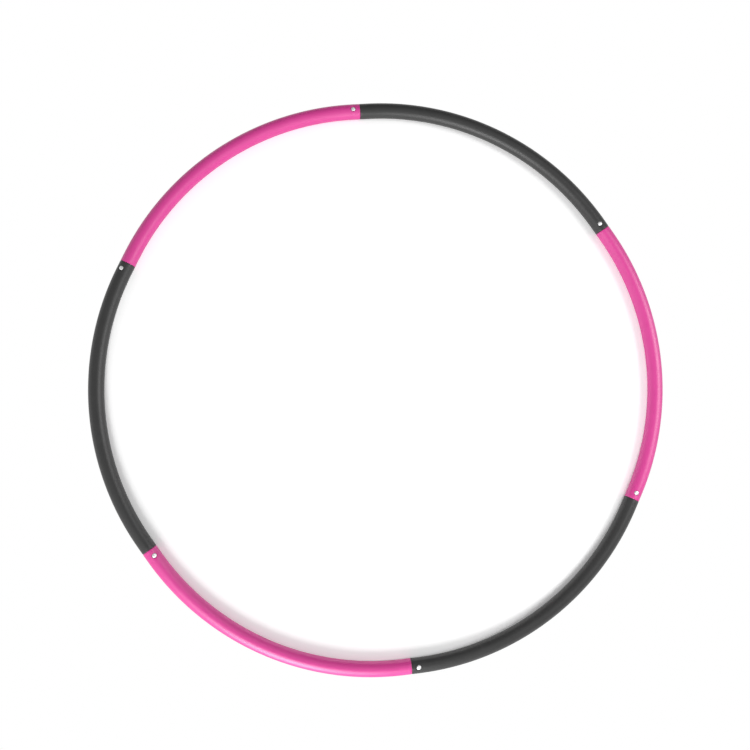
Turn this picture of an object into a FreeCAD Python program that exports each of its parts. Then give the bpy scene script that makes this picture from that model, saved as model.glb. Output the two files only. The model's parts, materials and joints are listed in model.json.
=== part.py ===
import FreeCAD, Part
import math
import os

from FreeCAD import Vector

# Take-apart exercise hoop in millimetres: equal bent steel tube sections under foam sleeves,
# plugged end to end by spigots and locked by spring buttons.
# The hoop lies flat on Z = 0 with its axis on Z, and joint 1 stands on +Y.
# Joints and sections are numbered clockwise seen from above: section k starts at joint k.

# The whole ring
HOOP_DIAMETER = 1000.0  # outside, over the middles of two opposite sections
SECTION_COUNT = 6
STRAIGHT_LENGTH = 13.4  # each end of a section stays straight over this length

# Core tube and foam
CORE_DIAMETER = 19.0
CORE_WALL = 0.8
FOAM_THICKNESS = 3.5
FOAM_EDGE_ROUND = 0.8  # round of the sleeve's cut ends

# Spigot: pressed into its own core tube, swaged down where it slides into the next one
SPIGOT_WALL = 1.0
SPIGOT_CLEARANCE = 0.3  # radial, between the swaged half and the next core tube
SPIGOT_FIXED_LENGTH = 26.0
SPIGOT_FREE_LENGTH = 28.0
SPIGOT_LEAD_CHAMFER = 0.5

# Snap button
BUTTON_DIAMETER = 7.4
BUTTON_SETBACK = 12.0  # from the joint to the button's axis
BUTTON_PROUD = 0.4  # how far its crown stands out of the foam
BUTTON_CLEARANCE = 0.3  # radial in its holes, and from its flange to the spigot's wall
BUTTON_CROWN_RADIUS = 8.0
BUTTON_EDGE_ROUND = 0.6
BUTTON_DIMPLE_DIAMETER = 2.2
BUTTON_DIMPLE_DEPTH = 0.4
BUTTON_FLANGE_DIAMETER = 10.0
BUTTON_FLANGE_THICKNESS = 1.0
BUTTON_STEM_DIAMETER = 3.0
BUTTON_STEM_CLEARANCE = 0.05  # radial, in the spring's hole
BUTTON_RIVET_DIAMETER = 4.8
BUTTON_RIVET_THICKNESS = 0.7
FOAM_HOLE_CLEARANCE = 0.6  # radial, round the button
# Turn of each button about the tube, in degrees from straight up, positive away from the
# hoop's axis: the sections never line up perfectly.
BUTTON_TURNS = (3.0, -10.0, -4.0, 1.0, -19.0, 16.0)

# Leaf spring, folded to a V that opens towards the button
SPRING_THICKNESS = 0.6
SPRING_WIDTH = 8.0
SPRING_FOLD_RADIUS = 2.0  # to the middle of the strip
SPRING_FOLD_SETBACK = 10.0  # from the joint to the fold's axis, on the fixed side

X_AXIS = Vector(1, 0, 0)
Y_AXIS = Vector(0, 1, 0)
Z_AXIS = Vector(0, 0, 1)
ORIGIN = Vector(0, 0, 0)
TINY = 1e-4

# Derived sizes of the ring
HALF_ANGLE = math.pi / SECTION_COUNT
CORE_RADIUS = CORE_DIAMETER / 2
CORE_BORE_RADIUS = CORE_RADIUS - CORE_WALL
FOAM_RADIUS = CORE_RADIUS + FOAM_THICKNESS
BEND_CENTRE_OFFSET = STRAIGHT_LENGTH / math.sin(HALF_ANGLE)  # from the hoop's axis
BEND_RADIUS = HOOP_DIAMETER / 2 - FOAM_RADIUS - BEND_CENTRE_OFFSET
JOINT_RADIUS = BEND_RADIUS + BEND_CENTRE_OFFSET * math.cos(HALF_ANGLE)
HALF_SECTION_LENGTH = STRAIGHT_LENGTH + BEND_RADIUS * HALF_ANGLE

# Derived sizes of the spigot and the button
SPIGOT_FREE_RADIUS = CORE_BORE_RADIUS - SPIGOT_CLEARANCE
SPIGOT_FREE_BORE = SPIGOT_FREE_RADIUS - SPIGOT_WALL
BUTTON_RADIUS = BUTTON_DIAMETER / 2
BUTTON_HOLE_RADIUS = BUTTON_RADIUS + BUTTON_CLEARANCE
BUTTON_TOP = FOAM_RADIUS + BUTTON_PROUD
FLANGE_RADIUS = BUTTON_FLANGE_DIAMETER / 2
FLANGE_TOP = math.sqrt(SPIGOT_FREE_BORE**2 - FLANGE_RADIUS**2) - BUTTON_CLEARANCE
LEAF_TOP = FLANGE_TOP - BUTTON_FLANGE_THICKNESS
LEAF_BOTTOM = LEAF_TOP - SPRING_THICKNESS
LEAF_SEAT = -math.sqrt(SPIGOT_FREE_BORE**2 - (SPRING_WIDTH / 2) ** 2)


# ---- Places ----
# Every piece is drawn in its joint's frame: the origin on the tube's axis at the joint,
# X clockwise along the tube, Y away from the hoop's axis and Z up.


def at_joint(shape, joint):
    """Moves a shape from the joint's frame to its place in the hoop."""
    placed = shape.copy()
    placed.translate(Vector(0, JOINT_RADIUS, FOAM_RADIUS))
    placed.rotate(ORIGIN, Z_AXIS, -math.degrees(2 * HALF_ANGLE) * (joint - 1))
    return placed


def turned(shape, joint):
    """Turns a shape about the tube, as that joint's button is turned."""
    turn = BUTTON_TURNS[(joint - 1) % len(BUTTON_TURNS)]
    return shape.rotated(ORIGIN, X_AXIS, -turn)


def next_joint(joint):
    return joint % SECTION_COUNT + 1


# ---- Tube that follows the hoop's line ----


def ring_face(outer_radius, inner_radius, x):
    """A ring across the tube at X = x."""
    centre = Vector(x, 0, 0)
    outer = Part.Face(Part.Wire(Part.makeCircle(outer_radius, centre, X_AXIS)))
    inner = Part.Face(Part.Wire(Part.makeCircle(inner_radius, centre, X_AXIS)))
    return outer.cut(inner)


def tube_ahead(outer_radius, inner_radius, length):
    """Tube from the joint clockwise along the hoop's line, up to half a section long."""
    straight = min(length, STRAIGHT_LENGTH)
    tube = ring_face(outer_radius, inner_radius, 0).extrude(Vector(straight, 0, 0))
    if length > STRAIGHT_LENGTH:
        bend_centre = Vector(STRAIGHT_LENGTH, -BEND_RADIUS, 0)
        bend_angle = math.degrees((length - STRAIGHT_LENGTH) / BEND_RADIUS)
        bend_start = ring_face(outer_radius, inner_radius, STRAIGHT_LENGTH)
        tube = tube.fuse(bend_start.revolve(bend_centre, Z_AXIS, -bend_angle))
    return tube.removeSplitter()


def tube_behind(outer_radius, inner_radius, length):
    """The same tube, counter-clockwise from the joint."""
    return tube_ahead(outer_radius, inner_radius, length).mirror(ORIGIN, X_AXIS)


def outer_rim(tube, x):
    """The outer edge of a tube's cut end whose middle stands at X = x."""
    rims = [edge for edge in tube.Edges if abs(edge.CenterOfMass.x - x) < TINY]
    return max(rims, key=lambda edge: edge.Length)


def whole_section(half):
    """Joins half a section to its mirror image across the section's middle."""
    hoop_axis = Vector(0, -JOINT_RADIUS, 0)
    across_middle = Vector(math.cos(HALF_ANGLE), -math.sin(HALF_ANGLE), 0)
    return half.fuse(half.mirror(hoop_axis, across_middle)).removeSplitter()


# ---- Sections ----


def button_bore(radius, joint):
    """A radial cutter on the button's axis, from the tube's axis out past the foam."""
    bore = Part.makeCylinder(radius, 2 * FOAM_RADIUS, Vector(-BUTTON_SETBACK, 0, 0), Z_AXIS)
    return turned(bore, joint)


def rounded_end(half_sleeve):
    """Rounds the outer edge of the sleeve's cut end."""
    return half_sleeve.makeFillet(FOAM_EDGE_ROUND, [outer_rim(half_sleeve, 0)])


def drilled_section(half, hole_radius, section):
    """A whole section in its place, with the hole for the next joint's button."""
    placed = at_joint(whole_section(half), section)
    joint = next_joint(section)
    return placed.cut(at_joint(button_bore(hole_radius, joint), joint))


def core_tube(section):
    half = tube_ahead(CORE_RADIUS, CORE_BORE_RADIUS, HALF_SECTION_LENGTH)
    return drilled_section(half, BUTTON_HOLE_RADIUS, section)


def foam_sleeve(section):
    half = rounded_end(tube_ahead(FOAM_RADIUS, CORE_RADIUS, HALF_SECTION_LENGTH))
    return drilled_section(half, BUTTON_RADIUS + FOAM_HOLE_CLEARANCE, section)


# ---- Joint pieces ----


def spigot(joint):
    """Connector tube: its fixed half fills the core's bore and its free half clears the next."""
    fixed = tube_ahead(CORE_BORE_RADIUS, CORE_BORE_RADIUS - SPIGOT_WALL, SPIGOT_FIXED_LENGTH)
    free = tube_behind(SPIGOT_FREE_RADIUS, SPIGOT_FREE_BORE, SPIGOT_FREE_LENGTH)
    tip = min(edge.CenterOfMass.x for edge in free.Edges)
    free = free.makeChamfer(SPIGOT_LEAD_CHAMFER, [outer_rim(free, tip)])
    tube = fixed.fuse(free).removeSplitter()
    return at_joint(tube.cut(button_bore(BUTTON_HOLE_RADIUS, joint)), joint)


def disc(radius, bottom, top):
    """A round disc on the button's axis."""
    return Part.makeCylinder(radius, top - bottom, Vector(-BUTTON_SETBACK, 0, bottom), Z_AXIS)


def button_crown():
    """The visible pin: a slightly domed cylinder with a rounded edge and a centre dimple."""
    crown_bottom = BUTTON_TOP - BUTTON_CROWN_RADIUS
    crown_centre = Vector(-BUTTON_SETBACK, 0, crown_bottom)
    pin = disc(BUTTON_RADIUS, crown_bottom, BUTTON_TOP)
    pin = pin.common(Part.makeSphere(BUTTON_CROWN_RADIUS, crown_centre))
    rim_height = crown_bottom + math.sqrt(BUTTON_CROWN_RADIUS**2 - BUTTON_RADIUS**2)
    circles = [edge for edge in pin.Edges if edge.Length > BUTTON_DIAMETER]
    rims = [edge for edge in circles if abs(edge.CenterOfMass.z - rim_height) < TINY]
    pin = pin.makeFillet(BUTTON_EDGE_ROUND, rims)
    dimple_edge = BUTTON_DIMPLE_DIAMETER / 2
    dimple_radius = (dimple_edge**2 + BUTTON_DIMPLE_DEPTH**2) / (2 * BUTTON_DIMPLE_DEPTH)
    dimple_height = BUTTON_TOP - BUTTON_DIMPLE_DEPTH + dimple_radius
    dimple = Part.makeSphere(dimple_radius, Vector(-BUTTON_SETBACK, 0, dimple_height))
    return pin.cut(dimple)


def snap_button(joint):
    """Domed pin, flange, stem through the spring's leaf and the rivet head below it."""
    button = button_crown()
    button = button.fuse(disc(BUTTON_RADIUS, LEAF_TOP, BUTTON_TOP - BUTTON_CROWN_RADIUS))
    button = button.fuse(disc(FLANGE_RADIUS, LEAF_TOP, FLANGE_TOP))
    button = button.fuse(disc(BUTTON_STEM_DIAMETER / 2, LEAF_BOTTOM, LEAF_TOP))
    rivet_bottom = LEAF_BOTTOM - BUTTON_RIVET_THICKNESS
    button = button.fuse(disc(BUTTON_RIVET_DIAMETER / 2, rivet_bottom, LEAF_BOTTOM))
    return at_joint(turned(button.removeSplitter(), joint), joint)


def leaf(start, end, overhang=0.0):
    """Flat strip whose middle runs from start to end, X and Z pairs, straight across the tube."""
    length = math.hypot(end[0] - start[0], end[1] - start[1]) + overhang
    slope = math.degrees(math.atan2(end[1] - start[1], end[0] - start[0]))
    corner = Vector(0, -SPRING_WIDTH / 2, -SPRING_THICKNESS / 2)
    strip = Part.makeBox(length, SPRING_WIDTH, SPRING_THICKNESS, corner)
    strip.rotate(ORIGIN, Y_AXIS, -slope)
    strip.translate(Vector(start[0], 0, start[1]))
    return strip


def fold(start, angle):
    """The strip's round fold: it leaves start along X and turns up by that angle."""
    edge_of_strip = Vector(start[0], -SPRING_WIDTH / 2, start[1] - SPRING_THICKNESS / 2)
    section = Part.makePlane(SPRING_WIDTH, SPRING_THICKNESS, edge_of_strip, X_AXIS, Y_AXIS)
    axis_point = Vector(start[0], 0, start[1] + SPRING_FOLD_RADIUS)
    return section.revolve(axis_point, Y_AXIS, -angle)


def button_spring(joint):
    """V-shaped leaf spring: one leg on the spigot's wall, the other under the button."""
    landing_end = (-BUTTON_SETBACK + FLANGE_RADIUS, LEAF_TOP - SPRING_THICKNESS / 2)
    landing_tip = (-BUTTON_SETBACK - FLANGE_RADIUS, landing_end[1])
    seat_end = (SPRING_FOLD_SETBACK, LEAF_SEAT + SPRING_THICKNESS / 2)
    seat_tip = (-BUTTON_SETBACK, seat_end[1])
    fold_centre = (seat_end[0], seat_end[1] + SPRING_FOLD_RADIUS)
    run = fold_centre[0] - landing_end[0]
    drop = landing_end[1] - fold_centre[1]
    reach = math.hypot(run, drop)
    slope = math.atan2(drop, run) - math.asin(SPRING_FOLD_RADIUS / reach)
    fold_end = (
        fold_centre[0] + SPRING_FOLD_RADIUS * math.sin(slope),
        fold_centre[1] + SPRING_FOLD_RADIUS * math.cos(slope),
    )
    spring = leaf(seat_tip, seat_end)
    spring = spring.fuse(fold(seat_end, 180 + math.degrees(slope)))
    spring = spring.fuse(leaf(fold_end, landing_end))
    spring = spring.fuse(leaf(landing_end, landing_tip))
    knee = Vector(landing_end[0], -SPRING_WIDTH / 2, landing_end[1])
    spring = spring.fuse(Part.makeCylinder(SPRING_THICKNESS / 2, SPRING_WIDTH, knee, Y_AXIS))
    stem_hole = disc(BUTTON_STEM_DIAMETER / 2 + BUTTON_STEM_CLEARANCE, LEAF_BOTTOM, LEAF_TOP)
    spring = spring.cut(stem_hole).removeSplitter()
    return at_joint(turned(spring, joint), joint)


def main():
    os.makedirs("parts", exist_ok=True)
    makers = {
        "core_tube": core_tube,
        "foam_sleeve": foam_sleeve,
        "spigot": spigot,
        "button_spring": button_spring,
        "snap_button": snap_button,
    }
    for number in range(1, SECTION_COUNT + 1):
        for name, make in makers.items():
            make(number).exportStep(f"parts/{name}_{number}.step")


main()
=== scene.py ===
import json
import math

import bpy
import numpy as np
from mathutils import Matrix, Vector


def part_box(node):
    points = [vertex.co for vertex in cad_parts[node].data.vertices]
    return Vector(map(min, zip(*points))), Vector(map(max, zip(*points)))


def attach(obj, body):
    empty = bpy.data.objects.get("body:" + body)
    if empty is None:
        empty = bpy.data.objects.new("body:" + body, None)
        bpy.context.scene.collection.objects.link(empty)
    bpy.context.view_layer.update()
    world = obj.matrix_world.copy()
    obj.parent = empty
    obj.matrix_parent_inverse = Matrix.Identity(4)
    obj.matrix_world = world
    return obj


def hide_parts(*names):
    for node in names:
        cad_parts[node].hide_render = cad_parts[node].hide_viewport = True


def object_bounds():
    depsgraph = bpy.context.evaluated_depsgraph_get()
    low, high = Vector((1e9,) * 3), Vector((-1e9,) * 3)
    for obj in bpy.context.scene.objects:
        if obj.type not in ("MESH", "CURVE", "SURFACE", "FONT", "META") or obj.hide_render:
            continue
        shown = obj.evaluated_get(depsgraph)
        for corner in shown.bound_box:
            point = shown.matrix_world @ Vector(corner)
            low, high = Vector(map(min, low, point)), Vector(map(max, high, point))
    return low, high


# The foam-covered take-apart hoop, lying flat and seen from almost straight above.
# Lengths are in metres where nothing else is said. Joints and sections are numbered clockwise
# seen from above: joint 1 stands on +Y, and section k runs clockwise from joint k to the next.

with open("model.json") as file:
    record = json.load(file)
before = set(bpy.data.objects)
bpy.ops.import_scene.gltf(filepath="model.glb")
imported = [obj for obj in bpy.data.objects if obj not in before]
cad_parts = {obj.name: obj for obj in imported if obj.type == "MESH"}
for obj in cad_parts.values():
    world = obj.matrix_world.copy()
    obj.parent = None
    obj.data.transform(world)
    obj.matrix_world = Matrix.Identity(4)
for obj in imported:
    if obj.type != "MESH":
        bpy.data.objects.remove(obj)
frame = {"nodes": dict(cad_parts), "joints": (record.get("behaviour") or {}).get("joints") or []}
cad_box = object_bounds()

# ---- Sizes, read from the frame ----

SECTIONS = len(frame["joints"])
HALF_ANGLE = math.pi / SECTIONS  # half of one section's bend


def box_size(node):
    low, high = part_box(node)
    return high - low


def joint_centreline_radius():
    """Distance of joint 1's centre from the hoop's axis, from the spigot that lies across it."""
    low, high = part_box("spigot_1")
    return high.y - (high.z - low.z) / 2


TUBE_RADIUS = box_size("foam_sleeve_1").z / 2
CORE_RADIUS = box_size("core_tube_1").z / 2
HOOP_RADIUS = (cad_box[1].x - cad_box[0].x) / 2
JOINT_RADIUS = joint_centreline_radius()
BEND_OFFSET = (HOOP_RADIUS - TUBE_RADIUS - JOINT_RADIUS) / (1 - math.cos(HALF_ANGLE))
BEND_RADIUS = HOOP_RADIUS - TUBE_RADIUS - BEND_OFFSET
STRAIGHT = BEND_OFFSET * math.sin(HALF_ANGLE)  # the straight stretch at each end of a section
BEND_LENGTH = BEND_RADIUS * 2 * HALF_ANGLE
SECTION_LENGTH = 2 * STRAIGHT + BEND_LENGTH

# ---- The foam covers' shape ----

COLUMNS = 112  # vertices round the tube
PATCH = 12  # cells from the button's axis to the edge of the fine patch round its hole
PATCH_LENGTH = 0.0085  # the same distance along the tube
HOLE_RING = 6  # the patch's ring that becomes the hole's lip
HOLE_RADIUS = 0.0043
LIP_ROUND = 0.0006  # radius of the hole's rounded lip
LIP_STEPS = 4
WALL_STEPS = 3
LONG_STEP = 0.004  # row spacing along the tube away from the hole
END_ROUND = 0.0009  # radius of a cut end's rounded edge
END_GAP = 0.00012  # each cut end stops this far short of the joint
END_STEPS = 5

# ---- Looks of the materials ----
# Scales are in cells to the metre. A bump is its height and its strength.

NOISE_RANGE = (0.3, 0.7)  # what the values of a noise mostly lie between
MOTTLE_SCALE = 45.0
DENT_SCALE = 240.0
DENT_BUMP = (0.0004, 0.45)
GRAIN_SCALE = 900.0
GRAIN_BUMP = (0.00006, 0.6)
PORE_SCALE = 1300.0
PORE_RANGE = (0.10, 0.40)  # a pore's floor and rim, in cells from its middle
PORE_BUMP = (0.00004, 0.5)
FOAM_ROUGHNESS = (0.41, 0.49)
FOAM_IOR = 1.5
STAIN_SCALE = 180.0
SCRATCH_BUMP = (0.00002, 0.3)

# Name, colour, colour of the mottling, specular level.
DARK_FOAM = ("dark_foam", (0.022, 0.022, 0.022), (0.026, 0.026, 0.026), 0.60)
PINK_FOAM = ("pink_foam", (0.680, 0.019, 0.276), (0.705, 0.025, 0.290), 1.15)
# What wears it: name, colour, colour of the stains, roughness, scale of the scratches.
METALS = {
    "core_tube": ("core_steel", (0.50, 0.50, 0.51), (0.42, 0.42, 0.43), (0.30, 0.45), 2500.0),
    "spigot": ("spigot_steel", (0.60, 0.60, 0.61), (0.52, 0.52, 0.53), (0.22, 0.36), 2500.0),
    "button_spring": ("spring_steel", (0.34, 0.35, 0.38), (0.27, 0.28, 0.31), (0.28, 0.40), 3000.0),
    "snap_button": ("button_metal", (0.90, 0.90, 0.90), (0.85, 0.85, 0.86), (0.50, 0.62), 4000.0),
}

# ---- Camera and stage ----

PICTURE_WIDTH = 750.0  # pixels
FOCAL_PIXELS = 770.7
SENSOR_WIDTH = 36.0  # millimetres
CAMERA_PLACE = (-0.1438, -0.0542, 1.3423)
CAMERA_TURN = (3.521, -5.205, -5.279)  # degrees, XYZ

SKY_PARTS = ((0, 0, 0.38), (-0.43, 0, 0), (0, -0.32, 0))  # glows overhead, left and in front
WHITE_TOP = 26.0  # degrees up to which gloss shows the white background, and none at the back
FLOOR_SIZE = 12.0
FLOOR_COLOUR = 0.8  # grey level that lights the hoop from below
FLOOR_SEEN_COLOUR = 0.98  # grey level that is seen directly
FLOOR_LIFT = 0.18  # what the floor shows over what it reflects
FLOOR_ROUGHNESS = 0.9
FADE_START = JOINT_RADIUS + 0.3 * TUBE_RADIUS  # the floor turns plain white from here,
FADE_END = JOINT_RADIUS + TUBE_RADIUS  # under the tube, to here

PANEL_DISTANCE = 2.2  # from the hoop's middle to each light panel
# Name, degrees clockwise from +Y, degrees above the floor, width, height, strength.
PANELS = (
    ("front_light", 201, 30, 0.6, 1.4, 2.40),
    ("right_light_1", 82, 42, 0.3, 1.3, 0.78),
    ("right_light_2", 98, 42, 0.3, 1.3, 0.62),
)


def add_object(name, data):
    """A new object of a mesh, light or camera, linked to the scene."""
    piece = bpy.data.objects.new(name, data)
    bpy.context.scene.collection.objects.link(piece)
    return piece


# ---- The hoop's line ----


def line_point(s):
    """Where section 1's line is at distance s clockwise from joint 1: x, y and outward x, y."""
    bend = np.clip((s - STRAIGHT) / BEND_RADIUS, 0, 2 * HALF_ANGLE)
    before = np.minimum(s, STRAIGHT)
    after = np.maximum(s - STRAIGHT - BEND_LENGTH, 0)
    out_x, out_y = np.sin(bend), np.cos(bend)
    x = before + BEND_RADIUS * out_x + after * out_y
    y = JOINT_RADIUS - BEND_RADIUS + BEND_RADIUS * out_y - after * out_x
    return x, y, out_x, out_y


def place(s, side, up, section):
    """Points at s along the line, side outward from it and up above it, in the hoop."""
    x, y, out_x, out_y = line_point(s)
    x, y = x + side * out_x, y + side * out_y
    turn = -2 * HALF_ANGLE * (section - 1)
    c, d = math.cos(turn), math.sin(turn)
    return np.stack([c * x - d * y, d * x + c * y, up + TUBE_RADIUS], axis=-1)


def button_place(number):
    """A button's distance behind its joint and its turn about the tube, outward positive."""
    low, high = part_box(f"snap_button_{number}")
    middle = (low + high) / 2
    clockwise = -2 * HALF_ANGLE * (number - 1)
    behind = -(middle.x * math.cos(clockwise) + middle.y * math.sin(clockwise))
    axis = next(j["axis"] for j in frame["joints"] if j["child"] == f"button_{number}")
    outward = -axis[0] * math.sin(clockwise) + axis[1] * math.cos(clockwise)
    return behind, math.atan2(outward, axis[2])


def column_angle(column):
    """Angle about the tube from the button's column to the one that many further round."""
    return column * 2 * math.pi / COLUMNS


# ---- Foam covers ----


class Sleeve:
    """One foam sleeve as a closed mesh: outer skin, bore, cut ends and the button's hole."""

    def __init__(self, section):
        self.section = section
        behind, self.turn = button_place(section % SECTIONS + 1)
        self.hole_s = SECTION_LENGTH - behind
        self.points = []
        self.faces = []

    def add(self, s, across, up):
        """A vertex at s along the line, across and up in the frame turned with the button."""
        self.points.append((s, across, up))
        return len(self.points) - 1

    def face(self, corners, turned=False):
        """A quad, its corners in the opposite order where it is turned."""
        self.faces.append(corners[::-1] if turned else corners)

    def strip(self, one, two, turned=False):
        """Quads between two closed loops of as many vertices."""
        for a in range(len(one)):
            b = (a + 1) % len(one)
            self.face([one[a], one[b], two[b], two[a]], turned)

    def rows(self):
        """Distances of the rows along the line, and the index of the row at the hole."""
        first = self.hole_s - PATCH_LENGTH
        last = self.hole_s + PATCH_LENGTH
        start = END_GAP + END_ROUND
        stop = SECTION_LENGTH - END_GAP - END_ROUND
        main = np.linspace(start, first, round((first - start) / LONG_STEP) + 1)
        patch = np.linspace(first, last, 2 * PATCH + 1)
        rest = np.linspace(last, stop, max(2, round((stop - last) / LONG_STEP) + 1))
        return np.concatenate([main, patch[1:], rest[1:]]), len(main) - 1 + PATCH

    def hole_point(self, level, u, v, radius, hole_radius):
        """A vertex of the patch, u rows and v columns from its middle, on square ring level.

        The rings go over from the round hole to the patch's edge. Returns the distance along
        the line from the hole, the angle about the tube, and the direction from the hole's axis.
        """
        if abs(u) >= abs(v):
            beta = v / abs(u) * math.pi / 4
            beta = beta if u > 0 else math.pi - beta
        else:
            beta = u / abs(v) * math.pi / 4
            beta = math.pi / 2 - beta if v > 0 else beta - math.pi / 2
        mix = (level - HOLE_RING) / (PATCH - HOLE_RING)
        inner_s = hole_radius * math.cos(beta)
        inner_angle = math.asin(hole_radius * math.sin(beta) / radius)
        s = inner_s * (1 - mix) + PATCH_LENGTH * u / level * mix
        angle = inner_angle * (1 - mix) + column_angle(PATCH) * v / level * mix
        return s, angle, beta

    def skin(self, radius, hole_radius, inward=False):
        """A tube of rows and columns with a round hole.

        Returns its grid of vertices and the hole's ring, as directions with their vertices.
        """
        rows, hole_row = self.rows()
        grid = -np.ones((len(rows), COLUMNS), int)
        ring = []
        for i, s in enumerate(rows):
            for j in range(COLUMNS):
                u, v = i - hole_row, j - PATCH
                level = max(abs(u), abs(v))
                if level < HOLE_RING:
                    continue
                at, angle = s, column_angle(v)
                if level < PATCH:
                    shift, angle, beta = self.hole_point(level, u, v, radius, hole_radius)
                    at = self.hole_s + shift
                grid[i, j] = self.add(at, radius * math.sin(angle), radius * math.cos(angle))
                if level == HOLE_RING:
                    ring.append((beta, grid[i, j]))
        for i in range(len(rows) - 1):
            for j in range(COLUMNS):
                k = (j + 1) % COLUMNS
                corners = [grid[i, j], grid[i + 1, j], grid[i + 1, k], grid[i, k]]
                if min(corners) >= 0:
                    self.face(corners, inward)
        ring.sort()
        return grid, ring

    def end(self, outer, bore, at, inward):
        """Rounds the cut end and closes it down to the bore."""
        angles = [column_angle(j - PATCH) for j in range(COLUMNS)]
        loop = outer
        for step in range(1, END_STEPS + 1):
            a = math.pi / 2 * (1 - step / END_STEPS)
            s = at + inward * END_ROUND * (1 - math.cos(a))
            radius = TUBE_RADIUS - END_ROUND * (1 - math.sin(a))
            new = [self.add(s, radius * math.sin(t), radius * math.cos(t)) for t in angles]
            self.strip(loop, new, inward < 0)
            loop = new
        self.strip(loop, bore, inward < 0)

    def hole(self, outer_ring, bore_ring):
        """The lip's round and the hole's wall, from the skin down to the bore."""
        betas = [beta for beta, vertex in outer_ring]
        loop = [vertex for beta, vertex in outer_ring]
        for step in range(1, LIP_STEPS + 1):
            a = math.pi / 2 * step / LIP_STEPS
            radius = HOLE_RADIUS + LIP_ROUND * (1 - math.sin(a))
            drop = LIP_ROUND * (1 - math.cos(a))
            new = []
            for beta in betas:
                across = radius * math.sin(beta)
                up = math.sqrt(TUBE_RADIUS**2 - across**2) - drop
                new.append(self.add(self.hole_s + radius * math.cos(beta), across, up))
            self.strip(loop, new)
            loop = new
        for step in range(1, WALL_STEPS):
            mix = step / WALL_STEPS
            new = []
            for beta in betas:
                across = HOLE_RADIUS * math.sin(beta)
                top = math.sqrt(TUBE_RADIUS**2 - across**2) - LIP_ROUND
                bottom = math.sqrt(CORE_RADIUS**2 - across**2)
                s = self.hole_s + HOLE_RADIUS * math.cos(beta)
                new.append(self.add(s, across, top * (1 - mix) + bottom * mix))
            self.strip(loop, new)
            loop = new
        self.strip(loop, [vertex for beta, vertex in bore_ring])

    def mesh(self):
        outer, outer_ring = self.skin(TUBE_RADIUS, HOLE_RADIUS + LIP_ROUND)
        bore, bore_ring = self.skin(CORE_RADIUS, HOLE_RADIUS, inward=True)
        self.end(outer[0], bore[0], END_GAP, 1)
        self.end(outer[-1], bore[-1], SECTION_LENGTH - END_GAP, -1)
        self.hole(outer_ring, bore_ring)
        s, across, up = np.array(self.points).T
        side = across * math.cos(self.turn) + up * math.sin(self.turn)
        height = up * math.cos(self.turn) - across * math.sin(self.turn)
        places = place(s, side, height, self.section)
        mesh = bpy.data.meshes.new(f"foam_{self.section}")
        mesh.from_pydata(places.tolist(), [], [[int(i) for i in f] for f in self.faces])
        mesh.validate()
        return mesh


def add_foam(section, material):
    """The detailed sleeve that stands for one plain foam node."""
    mesh = Sleeve(section).mesh()
    mesh.materials.append(material)
    for polygon in mesh.polygons:
        polygon.use_smooth = True
    piece = add_object(f"foam_cover_{section}", mesh)
    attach(piece, "hoop")
    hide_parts(f"foam_sleeve_{section}")


# ---- Shader nodes ----


def new_material(name):
    """A material with its node tree, its Principled shader and its object coordinates."""
    material = bpy.data.materials.new(name)
    material.use_nodes = True
    tree = material.node_tree
    shader = tree.nodes["Principled BSDF"]
    where = tree.nodes.new("ShaderNodeTexCoord").outputs["Object"]
    return material, tree, shader, where


def math_node(tree, operation, *values):
    """A Math node of numbers and outputs."""
    node = tree.nodes.new("ShaderNodeMath")
    node.operation = operation
    for socket, value in zip(node.inputs, values):
        if isinstance(value, (int, float)):
            socket.default_value = value
        else:
            tree.links.new(value, socket)
    return node.outputs["Value"]


def vector_number(tree, operation, vector, other=(0, 0, 0)):
    """The number that a Vector Math node makes of a vector and a fixed one."""
    node = tree.nodes.new("ShaderNodeVectorMath")
    node.operation = operation
    node.inputs[1].default_value = other
    tree.links.new(vector, node.inputs[0])
    return node.outputs["Value"]


def map_range(tree, value, source, target=(0.0, 1.0), smooth=False):
    """Maps a value from one range onto another and keeps it inside."""
    node = tree.nodes.new("ShaderNodeMapRange")
    node.interpolation_type = "SMOOTHSTEP" if smooth else "LINEAR"
    node.inputs["From Min"].default_value, node.inputs["From Max"].default_value = source
    node.inputs["To Min"].default_value, node.inputs["To Max"].default_value = target
    tree.links.new(value, node.inputs["Value"])
    return node.outputs["Result"]


def noise(tree, where, scale, detail, roughness=0.5):
    node = tree.nodes.new("ShaderNodeTexNoise")
    node.inputs["Scale"].default_value = scale
    node.inputs["Detail"].default_value = detail
    node.inputs["Roughness"].default_value = roughness
    tree.links.new(where, node.inputs["Vector"])
    return node.outputs["Fac"]


def colour_between(tree, factor, one, two):
    node = tree.nodes.new("ShaderNodeMix")
    node.data_type = "RGBA"
    node.inputs["A"].default_value = (*one, 1)
    node.inputs["B"].default_value = (*two, 1)
    tree.links.new(factor, node.inputs["Factor"])
    return node.outputs["Result"]


def bump(tree, height, distance, strength, below=None):
    node = tree.nodes.new("ShaderNodeBump")
    node.inputs["Distance"].default_value = distance
    node.inputs["Strength"].default_value = strength
    tree.links.new(height, node.inputs["Height"])
    if below is not None:
        tree.links.new(below, node.inputs["Normal"])
    return node.outputs["Normal"]


def mix_shaders(tree, factor, one, two):
    node = tree.nodes.new("ShaderNodeMixShader")
    tree.links.new(factor, node.inputs["Fac"])
    tree.links.new(one, node.inputs[1])
    tree.links.new(two, node.inputs[2])
    return node.outputs["Shader"]


def seen_directly(tree):
    """1 for camera rays, mirror reflections and rays through glass, and 0 for light."""
    path = tree.nodes.new("ShaderNodeLightPath")
    seen = path.outputs["Is Camera Ray"]
    for kind in ("Is Glossy Ray", "Is Transmission Ray"):
        seen = math_node(tree, "MAXIMUM", seen, path.outputs[kind])
    return seen


# ---- Materials ----


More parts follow.
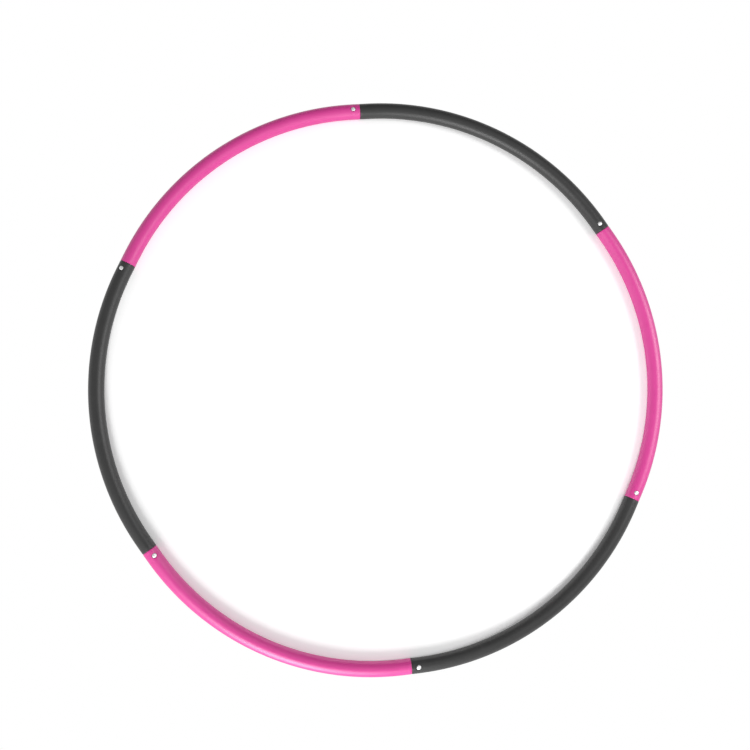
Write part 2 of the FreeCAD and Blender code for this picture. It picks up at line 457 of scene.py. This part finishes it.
def pores(tree, where):
    """Small round pits in a flat skin, one to each cell."""
    cells = tree.nodes.new("ShaderNodeTexVoronoi")
    cells.inputs["Scale"].default_value = PORE_SCALE
    tree.links.new(where, cells.inputs["Vector"])
    return map_range(tree, cells.outputs["Distance"], PORE_RANGE, smooth=True)


def foam(name, colour, shade, gloss):
    """Closed-cell foam with a smooth skin: fine pores, soft dents, faint mottling, satin gloss."""
    material, tree, shader, where = new_material(name)
    mottle = map_range(tree, noise(tree, where, MOTTLE_SCALE, 4.0), NOISE_RANGE)
    tree.links.new(colour_between(tree, mottle, colour, shade), shader.inputs["Base Color"])
    grain = noise(tree, where, GRAIN_SCALE, 2.0)
    roughness = map_range(tree, grain, NOISE_RANGE, FOAM_ROUGHNESS)
    tree.links.new(roughness, shader.inputs["Roughness"])
    dented = bump(tree, noise(tree, where, DENT_SCALE, 3.0), *DENT_BUMP)
    grained = bump(tree, grain, *GRAIN_BUMP, dented)
    pitted = bump(tree, pores(tree, where), *PORE_BUMP, grained)
    tree.links.new(pitted, shader.inputs["Normal"])
    shader.inputs["IOR"].default_value = FOAM_IOR
    shader.inputs["Specular IOR Level"].default_value = gloss
    return material


def metal(name, colour, shade, roughness, scale):
    """Drawn or plated steel with fine scratches and slight stains."""
    material, tree, shader, where = new_material(name)
    stain = map_range(tree, noise(tree, where, STAIN_SCALE, 4.0), NOISE_RANGE)
    tree.links.new(colour_between(tree, stain, colour, shade), shader.inputs["Base Color"])
    scratches = noise(tree, where, scale, 4.0, 0.7)
    rough = map_range(tree, scratches, NOISE_RANGE, roughness)
    tree.links.new(rough, shader.inputs["Roughness"])
    tree.links.new(bump(tree, scratches, *SCRATCH_BUMP), shader.inputs["Normal"])
    shader.inputs["Metallic"].default_value = 1.0
    return material


def dress(node, material):
    """Gives a carried-over node a material."""
    data = frame["nodes"][node].data
    data.materials.clear()
    data.materials.append(material)


# ---- Stage ----


def add_camera():
    data = bpy.data.cameras.new("camera")
    data.sensor_width = SENSOR_WIDTH
    data.lens = FOCAL_PIXELS / PICTURE_WIDTH * SENSOR_WIDTH
    camera = add_object("camera", data)
    camera.location = CAMERA_PLACE
    camera.rotation_euler = [math.radians(a) for a in CAMERA_TURN]
    bpy.context.scene.camera = camera


def sky_strength(tree, direction):
    """The glows added up, each strongest in its own direction and gone at a right angle to it."""
    total = 0.0
    for part in SKY_PARTS:
        glow = vector_number(tree, "DOT_PRODUCT", direction, part)
        total = math_node(tree, "ADD", math_node(tree, "MAXIMUM", glow, 0.0), total)
    return total


def white_in_gloss(tree, direction):
    """1 where gloss and glass show the white background: low down, and less towards the back."""
    parts = tree.nodes.new("ShaderNodeSeparateXYZ")
    tree.links.new(direction, parts.inputs[0])
    top = math.sin(math.radians(WHITE_TOP))
    back = math_node(tree, "MULTIPLY", math_node(tree, "MAXIMUM", parts.outputs["Y"], 0.0), top)
    low = math_node(tree, "LESS_THAN", math_node(tree, "ADD", parts.outputs["Z"], back), top)
    return math_node(tree, "MULTIPLY", seen_directly(tree), low)


def add_world():
    """A soft sky, with no glow at the back and the right, over a white background."""
    world = bpy.data.worlds.new("studio")
    world.use_nodes = True
    bpy.context.scene.world = world
    tree = world.node_tree
    direction = tree.nodes.new("ShaderNodeTexCoord").outputs["Generated"]
    sky = tree.nodes["Background"]
    sky.inputs["Color"].default_value = (1, 1, 1, 1)
    tree.links.new(sky_strength(tree, direction), sky.inputs["Strength"])
    white = tree.nodes.new("ShaderNodeBackground")
    white.inputs["Color"].default_value = (1, 1, 1, 1)
    white.inputs["Strength"].default_value = 1.0
    camera_ray = tree.nodes.new("ShaderNodeLightPath").outputs["Is Camera Ray"]
    shows_white = math_node(tree, "MAXIMUM", white_in_gloss(tree, direction), camera_ray)
    mix = mix_shaders(tree, shows_white, sky.outputs[0], white.outputs[0])
    tree.links.new(mix, tree.nodes["World Output"].inputs["Surface"])


def floor_material():
    """White floor with the hoop's shadow inside the ring and under it, and plain white outside."""
    material, tree, shader, where = new_material("floor")
    seen = seen_directly(tree)
    tone = colour_between(tree, seen, [FLOOR_COLOUR] * 3, [FLOOR_SEEN_COLOUR] * 3)
    tree.links.new(tone, shader.inputs["Base Color"])
    shader.inputs["Roughness"].default_value = FLOOR_ROUGHNESS
    shader.inputs["Specular IOR Level"].default_value = 0.0
    lift = tree.nodes.new("ShaderNodeEmission")
    tree.links.new(math_node(tree, "MULTIPLY", seen, FLOOR_LIFT), lift.inputs["Strength"])
    inside = tree.nodes.new("ShaderNodeAddShader")
    tree.links.new(shader.outputs[0], inside.inputs[0])
    tree.links.new(lift.outputs[0], inside.inputs[1])
    white = tree.nodes.new("ShaderNodeEmission")
    distance = vector_number(tree, "LENGTH", where)
    fade = map_range(tree, distance, (FADE_START, FADE_END), smooth=True)
    outside = math_node(tree, "MULTIPLY", fade, seen)
    mix = mix_shaders(tree, outside, inside.outputs[0], white.outputs[0])
    tree.links.new(mix, tree.nodes["Material Output"].inputs["Surface"])
    return material


def add_floor():
    half = FLOOR_SIZE / 2
    corners = [(-half, -half, 0), (half, -half, 0), (half, half, 0), (-half, half, 0)]
    mesh = bpy.data.meshes.new("floor")
    mesh.from_pydata(corners, [], [(0, 1, 2, 3)])
    mesh.materials.append(floor_material())
    floor = add_object("floor", mesh)


def add_panel(name, azimuth, elevation, width, height, strength):
    """A light panel that faces the hoop's middle."""
    across, up = math.radians(azimuth), math.radians(elevation)
    data = bpy.data.lights.new(name, "AREA")
    data.shape = "RECTANGLE"
    data.size = width
    data.size_y = height
    data.energy = strength * math.pi * PANEL_DISTANCE**2
    light = add_object(name, data)
    level = PANEL_DISTANCE * math.cos(up)
    rise = PANEL_DISTANCE * math.sin(up)
    light.location = (level * math.sin(across), level * math.cos(across), rise)
    light.rotation_euler = (-light.location).to_track_quat("-Z", "Y").to_euler()


# ---- Making ----


def main():
    add_camera()
    add_world()
    add_floor()
    for panel in PANELS:
        add_panel(*panel)
    dark, pink = foam(*DARK_FOAM), foam(*PINK_FOAM)
    numbers = range(1, SECTIONS + 1)
    for section in numbers:
        add_foam(section, dark if section % 2 else pink)
    for kind, look in METALS.items():
        material = metal(*look)
        for number in numbers:
            dress(f"{kind}_{number}", material)
    bpy.context.scene.view_settings.view_transform = "Standard"


main()
